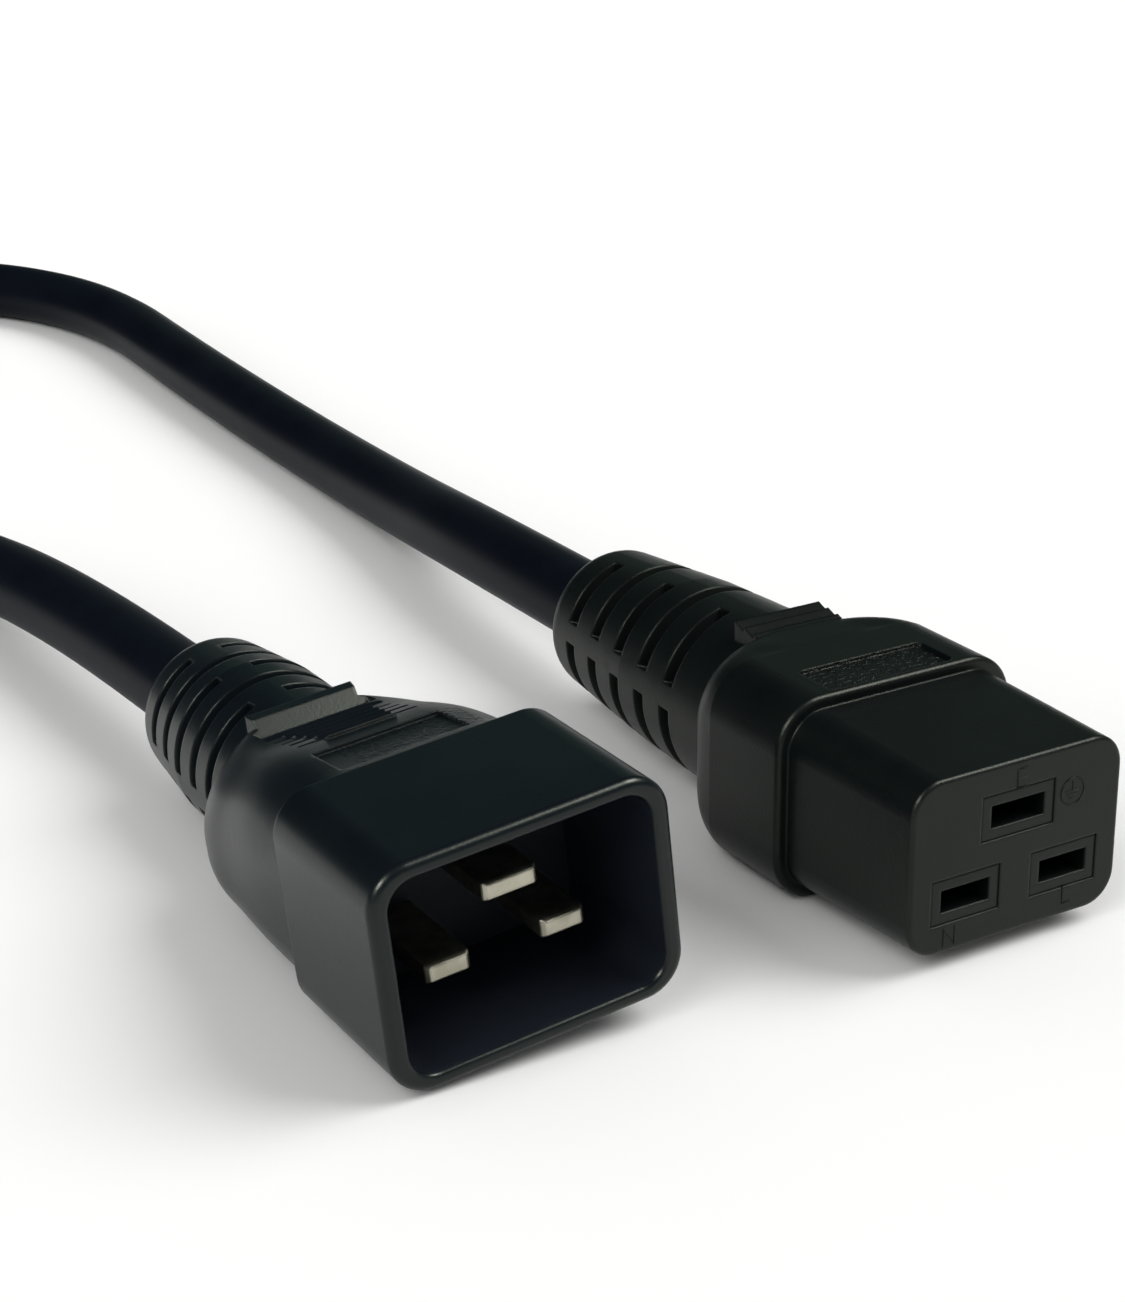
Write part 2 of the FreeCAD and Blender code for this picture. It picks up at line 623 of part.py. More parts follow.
def core_spots(maker):
    """Where the three contacts stand in the face and their cores in the cord."""
    drop = maker + "_boot_drop"
    return [
        ("line", ("-live_offset" if maker == "plug" else "live_offset"),
         "-%s_live_drop" % maker, "%s - bundle_radius * sin(30)" % ("-" + drop)),
        ("neutral", ("live_offset" if maker == "plug" else "-live_offset"),
         "-%s_live_drop" % maker, "%s - bundle_radius * sin(30)" % ("-" + drop)),
        ("earth", "0", "%s_earth_rise" % maker, "%s + bundle_radius" % ("-" + drop)),
    ]


def inner_sections(body, maker):
    """Sections of the inner mould, which binds the cores behind the carrier."""
    if maker == "socket":
        front_width = "socket_inner_front_width / 2"
        front_height = "socket_inner_front_height / 2"
        front_corner = "socket_inner_front_corner"
    else:
        front_width = "plug_carrier_width / 2"
        front_height = "plug_carrier_height / 2"
        front_corner = "plug_carrier_corner"
    start = maker + "_carrier_back"
    end = maker + "_jacket_start"
    drop = maker + "_boot_drop"
    front = cross_section(body, maker + "_inner_front", start)
    draw_rounded(front, front_width, front_height, "-" + front_height,
                 front_corner, front_corner)
    waist = cross_section(body, maker + "_inner_waist", "(%s + %s) / 2" % (start, end))
    half_height = maker + "_inner_waist_height / 2"
    corner = maker + "_inner_waist_corner"
    draw_rounded(waist, maker + "_inner_waist_width / 2", "%s - %s / 2" % (half_height, drop),
                 "-%s - %s / 2" % (half_height, drop), corner, corner)
    back = cross_section(body, maker + "_inner_back", end)
    draw_circle(back, "0", "-" + drop, "inner_end_radius")
    return [front, waist, back]


def cut_inner_room(body, maker):
    """Room in the outer mould for the inner mould and the jacket."""
    loft(body, maker + "_inner_room", inner_sections(body, maker), "SubtractiveLoft")
    bore = cross_section(body, maker + "_bore_outline", maker + "_jacket_start")
    draw_circle(bore, "0", "-%s_boot_drop" % maker, "cord_diameter / 2")
    pocket_back(body, maker + "_bore", bore, maker + "_jacket_grip")


# ---------------------------------------------------------------------------
# C19 outer mould
# ---------------------------------------------------------------------------
def make_socket_overmould():
    body = new_body("c19_overmould")
    collar_front = cross_section(body, "collar_outline", "socket_nose_length")
    draw_rounded(collar_front, "collar_half_width", "collar_half_height",
                 "-collar_half_height", "collar_corner", "collar_corner")
    pad_back(body, "collar", collar_front, "socket_collar_length")
    round_edges(body, "collar_rim", "socket_collar_round", edge_at("socket_nose_length"))

    face = cross_section(body, "face_outline", "0")
    draw_rounded(face, "socket_face_width / 2", "socket_face_height / 2",
                 "-socket_face_height / 2", "socket_face_corner", "socket_face_corner")
    root = cross_section(body, "nose_root_outline", "socket_nose_length")
    draw_rounded(root, "socket_face_width / 2 + nose_growth",
                 "socket_face_height / 2 + nose_growth",
                 "-(socket_face_height / 2 + nose_growth)",
                 "socket_face_corner + nose_growth", "socket_face_corner + nose_growth")
    loft(body, "nose", [face, root])
    round_edges(body, "face_rim", "socket_face_round", edge_at("0"))

    front = ("collar_half_width", "collar_half_height", "collar_half_height",
             "collar_corner", "collar_corner")
    loft(body, "shoulders",
         shoulder_sections(body, "socket", front, "socket_collar_back", SOCKET_BLENDS))
    add_boot(body, "socket")
    add_socket_grip(body)
    add_grooves(body, "socket")

    panel = sketch_on(body, "panel_outline", "XY_Plane")
    bind(panel, "AttachmentOffset.Base.z", "collar_half_height")
    draw_rounded(panel, "socket_panel_width / 2", "socket_panel_start + socket_panel_length",
                 "socket_panel_start", "socket_panel_corner", "socket_panel_corner")
    recess = body.newObject("PartDesign::Pocket", "panel")
    recess.Profile = panel
    bind(recess, "Length", "socket_panel_depth")

    windows = cross_section(body, "window_outline", "0")
    for width, x, z in socket_openings():
        draw_box(windows, x, z, "%s + 2 * (socket_tower_rim + sliding_gap)" % width,
                 "socket_slot_height + 2 * (socket_tower_rim + sliding_gap)")
    pocket_back(body, "windows", windows, "socket_tower_depth")
    room = cross_section(body, "carrier_room_outline", "socket_tower_depth")
    draw_carrier_block(room)
    pocket_back(body, "carrier_room", room, "socket_carrier_back - socket_tower_depth")
    cut_inner_room(body, "socket")
    seat(body, "socket")
    return body


def add_socket_grip(body):
    """A thumb grip on the shoulders: a wedge with a serrated top and an upright back."""
    sketch = side_view(body, "grip_profile")
    end = "socket_grip_start + socket_grip_length"
    corners = [(end, "0"), (end, "socket_grip_front + socket_grip_rise")]
    for tooth in range(SOCKET_TEETH, 0, -1):
        share = "%d / %d" % (tooth - 1, SOCKET_TEETH)
        at = "socket_grip_start + socket_grip_length * %s" % share
        height = "socket_grip_front + socket_grip_rise * %s" % share
        corners.append((at, height + " - socket_grip_tooth"))
        if tooth > 1:
            corners.append((at, height))
    corners.append(("socket_grip_start", "0"))
    draw_polygon(sketch, corners)
    pad_across(body, "grip", sketch, "socket_grip_width")


def socket_openings():
    """Width and middle of the three contact openings."""
    return [("socket_live_slot", "-live_offset", "-socket_live_drop"),
            ("socket_live_slot", "live_offset", "-socket_live_drop"),
            ("socket_earth_slot", "0", "socket_earth_rise")]


def draw_carrier_block(sketch):
    draw_rounded(sketch, "socket_carrier_width / 2", "socket_carrier_height / 2",
                 "-socket_carrier_height / 2", "socket_carrier_corner",
                 "socket_carrier_corner")


# ---------------------------------------------------------------------------
# C19 contact carrier and contacts
# ---------------------------------------------------------------------------
def make_socket_carrier():
    """A block with three towers, a chamber behind each and a hole for each core."""
    body = new_body("c19_contact_carrier")
    block = cross_section(body, "block_outline", "socket_tower_depth")
    draw_carrier_block(block)
    pad_back(body, "block", block, "socket_carrier_back - socket_tower_depth")
    towers = cross_section(body, "tower_outline", "socket_tower_recess")
    for width, x, z in socket_openings():
        draw_box(towers, x, z, "%s + 2 * socket_tower_rim" % width,
                 "socket_slot_height + 2 * socket_tower_rim")
    pad_back(body, "towers", towers, "socket_tower_depth - socket_tower_recess")
    slots = cross_section(body, "slot_outline", "0")
    chambers = cross_section(body, "chamber_outline", "socket_tower_depth")
    holes = cross_section(body, "core_hole_outline", "socket_core_start")
    for width, x, z in socket_openings():
        draw_box(slots, x, z, width, "socket_slot_height")
        draw_box(chambers, x, z, "contact_width + 4 * sliding_gap",
                 "contact_height + 4 * sliding_gap")
        draw_circle(holes, x, z, "core_diameter / 2")
    pocket_back(body, "slots", slots, "socket_tower_depth")
    pocket_back(body, "chambers", chambers, "socket_core_start - socket_tower_depth")
    pocket_back(body, "core_holes", holes, "socket_carrier_wall")
    seat(body, "socket")
    return body


def add_barrel(body, x, z, start):
    """The crimp barrel at the back of a contact."""
    barrel = cross_section(body, "barrel_outline", start)
    draw_circle(barrel, x, z, "barrel_outside / 2")
    draw_circle(barrel, x, z, "wire_diameter / 2")
    pad_back(body, "barrel", barrel, "barrel_length")


def make_socket_contact(name, x, z):
    """A female contact: a box of folded strip, a tongue and a crimp barrel."""
    body = new_body("c19_%s_contact" % name)
    front = "socket_tower_depth + contact_setback"
    box_end = "(%s + contact_box_length)" % front
    box = cross_section(body, "box_outline", front)
    draw_box(box, x, z, "contact_width", "contact_height")
    draw_box(box, x, z, "contact_width - 2 * contact_wall",
             "contact_height - 2 * contact_wall")
    pad_back(body, "box", box, "contact_box_length")
    tongue = cross_section(body, "tongue_outline", box_end)
    draw_box(tongue, x, "%s - contact_height / 2 + contact_wall / 2" % z,
             "contact_tongue_width", "contact_wall")
    pad_back(body, "tongue", tongue, "contact_tongue + barrel_length / 2")
    add_barrel(body, x, z, "%s + contact_tongue" % box_end)
    seat(body, "socket")
    return body


# ---------------------------------------------------------------------------
# C20 outer mould
# ---------------------------------------------------------------------------
def draw_cavity(sketch):
    draw_rounded(sketch, "plug_shroud_width / 2 - plug_side_wall",
                 "plug_shroud_height / 2 - plug_top_wall",
                 "-(plug_shroud_height / 2 - plug_top_wall)",
                 "plug_cavity_corner", "plug_cavity_corner")


def draw_plug_block(sketch):
    draw_rounded(sketch, "plug_carrier_width / 2", "plug_carrier_height / 2",
                 "-plug_carrier_height / 2", "plug_carrier_corner", "plug_carrier_corner")


def make_plug_overmould():
    body = new_body("c20_overmould")
    rim = cross_section(body, "shroud_outline", "0")
    draw_rounded(rim, "plug_shroud_width / 2", "plug_shroud_height / 2",
                 "-plug_shroud_height / 2", "plug_shroud_corner", "plug_shroud_corner")
    pad_back(body, "shroud", rim, "plug_shroud_length")
    round_edges(body, "shroud_rim", "plug_rim_outer", edge_at("0"))
    front = ("plug_half_width", "plug_top", "plug_base",
             "plug_body_top_corner", "plug_body_base_corner")
    loft(body, "shoulders",
         shoulder_sections(body, "plug", front, "plug_shroud_length", PLUG_BLENDS))
    add_boot(body, "plug")
    add_plug_grip(body)
    add_grooves(body, "plug")
    add_plug_panel(body)

    cavity = cross_section(body, "cavity_outline", "0")
    draw_cavity(cavity)
    pocket_back(body, "cavity", cavity, "plug_shroud_length")
    wall_middle = number("plug_side_wall / 2")
    face_edge = edge_at("0")

    def inner_rim(edge):
        """Edges of the mouth, which all lie nearer than the middle of the wall."""
        middle = edge.valueAt((edge.FirstParameter + edge.LastParameter) / 2)
        corner = number("plug_shroud_corner")
        across = max(abs(middle.x) - number("plug_shroud_width / 2") + corner, 0)
        upward = max(abs(middle.z) - number("plug_shroud_height / 2") + corner, 0)
        return face_edge(edge) and math.hypot(across, upward) < corner - wall_middle
    round_edges(body, "cavity_rim", "plug_rim_inner", inner_rim)

    block = cross_section(body, "carrier_room_outline", "plug_shroud_length")
    draw_plug_block(block)
    pocket_back(body, "carrier_room", block, "plug_carrier_back - plug_shroud_length")
    cut_inner_room(body, "plug")
    seat(body, "plug")
    return body


def add_plug_grip(body):
    """A thumb grip on the slope: a tapered pad cut to ribs, with a stop ridge behind."""
    plan = sketch_on(body, "grip_plan", "XY_Plane")
    draw_polygon(plan, [
        ("-plug_grip_front_width / 2", "plug_grip_start"),
        ("plug_grip_front_width / 2", "plug_grip_start"),
        ("plug_grip_back_width / 2", "plug_grip_end"),
        ("-plug_grip_back_width / 2", "plug_grip_end")])
    pad = body.newObject("PartDesign::Pad", "grip")
    pad.Profile = plan
    bind(pad, "Length", "plug_top")

    ridge_front = "(plug_grip_end - plug_ridge_length)"
    sketch = side_view(body, "grip_trim_profile")
    clear = "plug_top + plug_grip_tooth"
    corners = [("plug_grip_start - plug_grip_tooth", clear),
               ("plug_grip_start - plug_grip_tooth", "plug_grip_front")]
    for tooth in range(PLUG_TEETH):
        share = "%d / %d" % (tooth, PLUG_TEETH)
        half = "%d / %d" % (2 * tooth + 1, 2 * PLUG_TEETH)
        for part, depth in ((share, "0"), (half, "plug_grip_tooth")):
            at = "plug_grip_start + (%s - plug_grip_start) * %s" % (ridge_front, part)
            height = "plug_grip_front + (plug_grip_back - plug_grip_front) * %s - %s" % (
                part, depth)
            corners.append((at, height))
    corners += [(ridge_front, "plug_grip_back - plug_grip_tooth"),
                (ridge_front + " + plug_ridge_ramp", "plug_ridge_height"),
                ("plug_grip_end + plug_grip_tooth", "plug_ridge_height"),
                ("plug_grip_end + plug_grip_tooth", clear)]
    draw_polygon(sketch, corners)
    pocket_across(body, "grip_trim", sketch, "plug_grip_back_width + 2 * plug_grip_tooth")


def add_plug_panel(body):
    """A nameplate recess that follows the slope of the top."""
    start = "plug_panel_start"
    end = "(plug_panel_start + plug_panel_length)"

    def top_at(station):
        """The top of the body between its first two sections."""
        near = "plug_blend_1_at * plug_taper_length"
        fall = "(plug_top - plug_boot_root + plug_boot_drop) * (1 - plug_blend_1_top)"
        return "plug_top - (%s - plug_shroud_length) * %s / (%s)" % (station, fall, near)
    sketch = side_view(body, "panel_profile")
    draw_polygon(sketch, [
        (start, top_at(start) + " - plug_panel_depth"),
        (end, top_at(end) + " - plug_panel_depth"),
        (end, "plug_shroud_height / 2"),
        (start, "plug_shroud_height / 2")])
    pocket_across(body, "panel", sketch, "plug_panel_width")


# ---------------------------------------------------------------------------
# C20 carrier and pins
# ---------------------------------------------------------------------------
def plug_pins():
    """Name, width, middle and setback of the three blades."""
    return [("line", "live_pin_width", "-live_offset", "-plug_live_drop",
             "live_pin_setback"),
            ("neutral", "live_pin_width", "live_offset", "-plug_live_drop",
             "live_pin_setback"),
            ("earth", "earth_pin_width", "0", "plug_earth_rise", "earth_pin_setback")]


def make_plug_carrier():
    """The floor of the shroud with a block behind it, which hold the three blades."""
    body = new_body("c20_pin_carrier")
    floor = cross_section(body, "floor_outline", "plug_shroud_length - plug_floor")
    draw_cavity(floor)
    pad_back(body, "floor", floor, "plug_floor")
    block = cross_section(body, "block_outline", "plug_shroud_length")
    draw_plug_block(block)
    pad_back(body, "block", block, "plug_carrier_back - plug_shroud_length")
    slots = cross_section(body, "slot_outline", "plug_shroud_length - plug_floor")
    holes = cross_section(body, "core_hole_outline", "plug_barrel_start")
    for name, width, x, z, setback in plug_pins():
        draw_box(slots, x, z, width, "pin_thickness")
        draw_circle(holes, x, z, "core_diameter / 2")
    pocket_back(body, "slots", slots, "plug_barrel_start - plug_shroud_length + plug_floor")
    pocket_back(body, "core_holes", holes, "plug_carrier_back - plug_barrel_start")
    seat(body, "plug")
    return body


def make_plug_pin(name, width, x, z, setback):
    """A flat blade with a chamfered tip and a crimp barrel behind it."""
    body = new_body("c20_%s_pin" % name)
    blade = cross_section(body, "blade_outline", setback)
    draw_box(blade, x, z, width, "pin_thickness")
    pad_back(body, "blade", blade, "plug_barrel_start - " + setback)
    doc.recompute()
    tip = edge_at(setback)
    base = body.Tip
    names = ["Edge%d" % (i + 1) for i, edge in enumerate(base.Shape.Edges) if tip(edge)]
    chamfer = body.newObject("PartDesign::Chamfer", "tip")
    chamfer.Base = (base, names)
    bind(chamfer, "Size", "pin_tip_chamfer")
    add_barrel(body, x, z, "plug_barrel_start")
    seat(body, "plug")
    return body


# ---------------------------------------------------------------------------
# Conductors, inner moulds and the cord
# ---------------------------------------------------------------------------
def make_wire(maker, name, x, z, end):
    """The stripped and crimped end of a core, as far as its insulation."""
    body = new_body("%s_%s_conductor" % ({"socket": "c19", "plug": "c20"}[maker], name))
    outline = cross_section(body, "wire_outline", "%s - barrel_length" % end)
    draw_circle(outline, x, z, "wire_diameter / 2")
    pad_back(body, "wire", outline, "barrel_length")
    seat(body, maker)
    return body


def bent_path(points, share):
    """Straight runs joined by tangent arcs, each arc as large as its runs allow."""
    edges = []
    radii = []
    start = points[0]
    for i in range(1, len(points) - 1):
        before = points[i] - points[i - 1]
        after = points[i + 1] - points[i]
        turn = before.getAngle(after)
        shorter = min(before.Length, after.Length)
        radius = share * shorter / math.tan(turn / 2)
        reach = radius * math.tan(turn / 2)
        way_in = FreeCAD.Vector(before).normalize()
        way_out = FreeCAD.Vector(after).normalize()
        arc_start = points[i] - way_in * reach
        arc_end = points[i] + way_out * reach
        inward = (way_out - way_in).normalize()
        middle = points[i] + inward * (radius / math.cos(turn / 2) - radius)
        edges.append(Part.LineSegment(start, arc_start).toShape())
        edges.append(Part.Arc(arc_start, middle, arc_end).toShape())
        radii.append(radius)
        start = arc_end
    edges.append(Part.LineSegment(start, points[-1]).toShape())
    return Part.Wire(edges), radii


def tube(points, diameter, share):
    """A round solid along a bent path, with the radii of its bends."""
    path, radii = bent_path(points, share)
    ring = Part.Circle(points[0], points[1] - points[0], diameter / 2).toShape()
    solid = path.makePipeShell([Part.Wire([ring])], True, True)
    section = math.pi * diameter ** 2 / 4
    error = solid.Volume / (section * path.Length) - 1
    if abs(error) > 0.002:
        raise ValueError("a tube's volume is off by %.4f" % error)
    return solid, path.Length, radii


def make_core(maker, name, x, z, z_end):
    """An insulated core, from its contact to the end of the jacket."""
    start = number(maker + "_core_start")
    carrier_back = number(maker + "_carrier_back")
    end = number(maker + "_jacket_start")
    third = (end - carrier_back) / 4
    side = number(x)
    x_end = math.copysign(number("bundle_radius * cos(30)"), side) if side else 0.0
    high = number(z)
    low = number(z_end)
    points = [FreeCAD.Vector(side, start, high),
              FreeCAD.Vector(side, carrier_back + third / 2, high),
              FreeCAD.Vector(x_end, end - third, low),
              FreeCAD.Vector(x_end, end, low)]
    solid, length, radii = tube(points, number("core_diameter"), number("bend_share"))
    core = doc.addObject("Part::Feature",
                         "%s_%s_core" % ({"socket": "c19", "plug": "c20"}[maker], name))
    core.Label = core.Name
    core.Shape = solid
    seat(core, maker)
    return core


def make_inner_mould(maker, cores):
    """The inner mould, cast round the three cores."""
    label = {"socket": "c19", "plug": "c20"}[maker]
    blank = new_body(label + "_inner_blank")
    loft(blank, "blank", inner_sections(blank, maker))
    seat(blank, maker)
    bundle = doc.addObject("Part::Compound", label + "_core_bundle")
    bundle.Links = cores
    mould = doc.addObject("Part::Cut", label + "_inner_mould")
    mould.Label = mould.Name
    mould.Base = blank
    mould.Tool = bundle
    return mould


def world_point(maker, x, y, z):
    """A point of a connector's own frame, where that connector lies."""
    turn = FreeCAD.Rotation(FreeCAD.Vector(0, 1, 0),
                            number("plug_roll") if maker == "plug" else 0.0)
    shift = FreeCAD.Vector(number("plug_aside") if maker == "plug" else 0.0,
                           number(maker + "_forward"), number(maker + "_height"))
    return FreeCAD.Placement(shift, turn).multVec(
        FreeCAD.Vector(x, number(y), number(z)))


# The free length of the cord, as it lies on the floor in one open loop.
FLOOR_POINTS = [(8.0, 121.0), (10.4, 187.0), (14.0, 250.0), (-20.0, 292.0), (-73.0, 295.0),
                (-112.0, 259.0), (-114.0, 200.0), (-92.0, 152.0)]
LIFTED_POINT = (-66.0, 125.0, 6.4)
EXIT_RUN = 51.0


def cord_points():
    """The cord's route: out of one boot, round the floor, into the other."""
    rest = number("cord_diameter / 2")
    socket_start = world_point("socket", 0, "socket_jacket_start", "-socket_boot_drop")
    plug_start = world_point("plug", 0, "plug_jacket_start", "-plug_boot_drop")
    ahead = FreeCAD.Vector(0, EXIT_RUN, 0)
    points = [socket_start, socket_start + ahead]
    points += [FreeCAD.Vector(x, y, rest) for x, y in FLOOR_POINTS]
    points += [FreeCAD.Vector(*LIFTED_POINT), plug_start + ahead, plug_start]
    return points


def make_cord():
    """The jacketed cord, one plain tube."""
    solid, length, radii = tube(cord_points(), number("cord_diameter"), number("bend_share"))
    cord = doc.addObject("Part::Feature", "cord_jacket")
    cord.Label = "cord_jacket"
    cord.Shape = solid
    print("cord length %.1f, bend radii %s" % (length, " ".join("%.0f" % r for r in radii)))
    for point in cord_points():
        print("cord point %.2f %.2f %.2f" % (point.x, point.y, point.z))
    return cord


# ---------------------------------------------------------------------------
# The lead
# ---------------------------------------------------------------------------
pieces = [make_socket_overmould(), make_socket_carrier(),
          make_plug_overmould(), make_plug_carrier()]
for name, x, z, z_end in core_spots("socket"):
    pieces.append(make_socket_contact(name, x, z))
    pieces.append(make_wire("socket", name, x, z, "socket_core_start"))
for name, width, x, z, setback in plug_pins():
    pieces.append(make_plug_pin(name, width, x, z, setback))
for name, x, z, z_end in core_spots("plug"):
    pieces.append(make_wire("plug", name, x, z, "plug_core_start"))
for maker in ("socket", "plug"):
    cores = [make_core(maker, name, x, z, z_end) for name, x, z, z_end in core_spots(maker)]
    pieces += cores
    pieces.append(make_inner_mould(maker, cores))
pieces.append(make_cord())

doc.recompute()
for item in doc.Objects:
    if "Invalid" in item.State or "Error" in item.State:
        raise RuntimeError("%s did not build: %s" % (item.Label, item.State))
for piece in pieces:
    shape = piece.Shape
    if shape.isNull() or not shape.isValid() or not shape.Solids:
        raise RuntimeError("%s has no valid solid" % piece.Label)
    if len(shape.Solids) != 1:
        raise RuntimeError("%s is %d solids" % (piece.Label, len(shape.Solids)))

os.makedirs("parts", exist_ok=True)
for piece in pieces:
    piece.Shape.exportStep("parts/%s.step" % piece.Label)
    print("%-24s %10.2f mm3" % (piece.Label, piece.Shape.Volume))
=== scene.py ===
"""A C19 connector and the C20 plug on the far end of its short black cord, dressed for a studio picture."""
import json
import math

import bmesh
import bpy
from mathutils import Euler, Matrix, Vector


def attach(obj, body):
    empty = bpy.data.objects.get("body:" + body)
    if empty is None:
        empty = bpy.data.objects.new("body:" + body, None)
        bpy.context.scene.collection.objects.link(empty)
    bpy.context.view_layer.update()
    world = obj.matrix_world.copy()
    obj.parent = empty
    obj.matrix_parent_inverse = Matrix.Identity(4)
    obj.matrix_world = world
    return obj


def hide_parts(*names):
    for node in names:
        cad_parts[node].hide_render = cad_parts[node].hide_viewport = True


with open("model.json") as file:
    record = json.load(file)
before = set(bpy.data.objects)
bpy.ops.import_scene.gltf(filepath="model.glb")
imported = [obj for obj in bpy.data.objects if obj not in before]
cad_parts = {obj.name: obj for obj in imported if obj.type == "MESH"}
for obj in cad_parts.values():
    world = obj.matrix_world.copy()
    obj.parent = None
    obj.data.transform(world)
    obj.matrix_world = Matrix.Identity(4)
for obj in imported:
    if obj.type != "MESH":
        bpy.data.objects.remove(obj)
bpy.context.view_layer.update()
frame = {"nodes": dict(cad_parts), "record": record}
nodes = frame["nodes"]
mounts = {mount["name"]: mount for mount in frame["record"]["mounts"]}
MATING_FACE = Vector(mounts["c19_mating_face"]["pos_m"])
PLUG_RIM = Vector(mounts["c20_mating_rim"]["pos_m"])
# The plug leans on its side, about the line through the middle of its rim.
PLUG_ROLL = math.radians(-6.0)

# ---------------------------------------------------------------- camera
# The lens stands in front of the left end of the mating face and above it.
# Angles are in degrees, the sensor and the lens in millimetres.
CAMERA_FROM_FACE = Vector((-0.163785, -0.184343, 0.118672))
CAMERA_AZIMUTH = 30.72
CAMERA_ELEVATION = 21.70
CAMERA_ROLL = -0.718
SENSOR_WIDTH = 36.0
LENS = 83.34
CLIP_START = 0.01
CLIP_END = 50.0


def add_camera():
    data = bpy.data.cameras.new("camera")
    data.sensor_fit = "HORIZONTAL"
    data.sensor_width = SENSOR_WIDTH
    data.lens = LENS
    data.clip_start = CLIP_START
    data.clip_end = CLIP_END
    camera = bpy.data.objects.new("camera", data)
    tilt = math.radians(90.0 - CAMERA_ELEVATION)
    turn = math.radians(-CAMERA_AZIMUTH)
    roll = Matrix.Rotation(math.radians(CAMERA_ROLL), 4, "Z")
    aim = Euler((tilt, 0.0, turn)).to_matrix().to_4x4() @ roll
    camera.matrix_world = Matrix.Translation(MATING_FACE + CAMERA_FROM_FACE) @ aim
    bpy.context.scene.collection.objects.link(camera)
    bpy.context.scene.camera = camera


# ---------------------------------------------------------------- node helpers
BEVEL_SAMPLES = 6


def new_tree(owner, output_type):
    """The emptied node tree of a material or world, and its new output node."""
    owner.use_nodes = True
    tree = owner.node_tree
    tree.nodes.clear()
    return tree, tree.nodes.new(output_type)


def new_material(name):
    material = bpy.data.materials.new(name)
    tree, output = new_tree(material, "ShaderNodeOutputMaterial")
    shader = tree.nodes.new("ShaderNodeBsdfPrincipled")
    tree.links.new(shader.outputs["BSDF"], output.inputs["Surface"])
    return material, tree, shader


def object_coords(tree):
    return tree.nodes.new("ShaderNodeTexCoord").outputs["Object"]


def noise(tree, coords, scale, detail=4.0, roughness=0.55):
    node = tree.nodes.new("ShaderNodeTexNoise")
    node.inputs["Scale"].default_value = scale
    node.inputs["Detail"].default_value = detail
    node.inputs["Roughness"].default_value = roughness
    tree.links.new(coords, node.inputs["Vector"])
    return node.outputs["Fac"]


def gradient(tree, factor, stops):
    """A colour ramp through (position, colour) stops."""
    node = tree.nodes.new("ShaderNodeValToRGB")
    elements = node.color_ramp.elements
    while len(elements) < len(stops):
        elements.new(0.5)
    for element, (position, color) in zip(elements, stops):
        element.position = position
        element.color = (*color, 1.0)
    tree.links.new(factor, node.inputs["Fac"])
    return node.outputs["Color"]


def ramp(tree, factor, low, high, start=0.35, end=0.65):
    return gradient(tree, factor, ((start, low), (end, high)))


def remap(tree, factor, low, high):
    node = tree.nodes.new("ShaderNodeMapRange")
    node.inputs["To Min"].default_value = low
    node.inputs["To Max"].default_value = high
    tree.links.new(factor, node.inputs["Value"])
    return node.outputs["Result"]


def mix_colors(tree, factor, color, other):
    """The linked colour where factor is 0, and the other, constant colour where it is 1."""
    node = tree.nodes.new("ShaderNodeMix")
    node.data_type = "RGBA"
    # The node has one A, B and Result for each data type, so the colour's are picked by number.
    color_a, color_b, color_result = node.inputs[6], node.inputs[7], node.outputs[2]
    tree.links.new(factor, node.inputs[0])
    tree.links.new(color, color_a)
    color_b.default_value = (*other, 1.0)
    return color_result


def bump(tree, height, distance, below):
    """Relief of a given depth on top of the normal below it."""
    node = tree.nodes.new("ShaderNodeBump")
    node.inputs["Strength"].default_value = 1.0
    node.inputs["Distance"].default_value = distance
    tree.links.new(height, node.inputs["Height"])
    tree.links.new(below, node.inputs["Normal"])
    return node.outputs["Normal"]


def math_node(tree, operation, first, second):
    node = tree.nodes.new("ShaderNodeMath")
    node.operation = operation
    for socket, value in zip(node.inputs, (first, second)):
        if isinstance(value, float):
            socket.default_value = value
        else:
            tree.links.new(value, socket)
    return node.outputs[0]


def soften(tree, radius):
    """The normal of a surface whose sharp edges are rounded off."""
    node = tree.nodes.new("ShaderNodeBevel")
    node.samples = BEVEL_SAMPLES
    node.inputs["Radius"].default_value = radius
    return node.outputs["Normal"]


def inside(tree, coords, centre, half_size, roll):
    """1 inside a box that leans by roll about its Y axis, 0 outside it."""
    mapping = tree.nodes.new("ShaderNodeMapping")
    mapping.vector_type = "TEXTURE"
    mapping.inputs["Location"].default_value = centre
    mapping.inputs["Rotation"].default_value = (0.0, roll, 0.0)
    mapping.inputs["Scale"].default_value = half_size
    tree.links.new(coords, mapping.inputs["Vector"])
    size = tree.nodes.new("ShaderNodeVectorMath")
    size.operation = "ABSOLUTE"
    tree.links.new(mapping.outputs[0], size.inputs[0])
    split = tree.nodes.new("ShaderNodeSeparateXYZ")
    tree.links.new(size.outputs[0], split.inputs[0])
    widest = math_node(tree, "MAXIMUM", split.outputs["X"], split.outputs["Y"])
    widest = math_node(tree, "MAXIMUM", widest, split.outputs["Z"])
    return math_node(tree, "LESS_THAN", widest, 1.0)


# ---------------------------------------------------------------- materials
SHEEN_TINT = (0.94, 1.0, 0.84, 1.0)
# The scales of the noises count their waves in a metre.
CLOUD_SCALE = 90.0
SKIN_SCALE = 2600.0
TARNISH_SCALE = 400.0
METAL_SKIN_SCALE = 3000.0
# The coarse texture on the floor of a nameplate.
FLECK_SCALE = 1400.0
FLECK_DEPTH = 0.00009
FLECK_RANGE = (0.44, 0.56)
# Painted light: a paler colour on the walls of the plug's cavity, which lifts the shade in there.
PAINTED_CAVITY_LIGHT_COLOR = (0.011, 0.0135, 0.020)
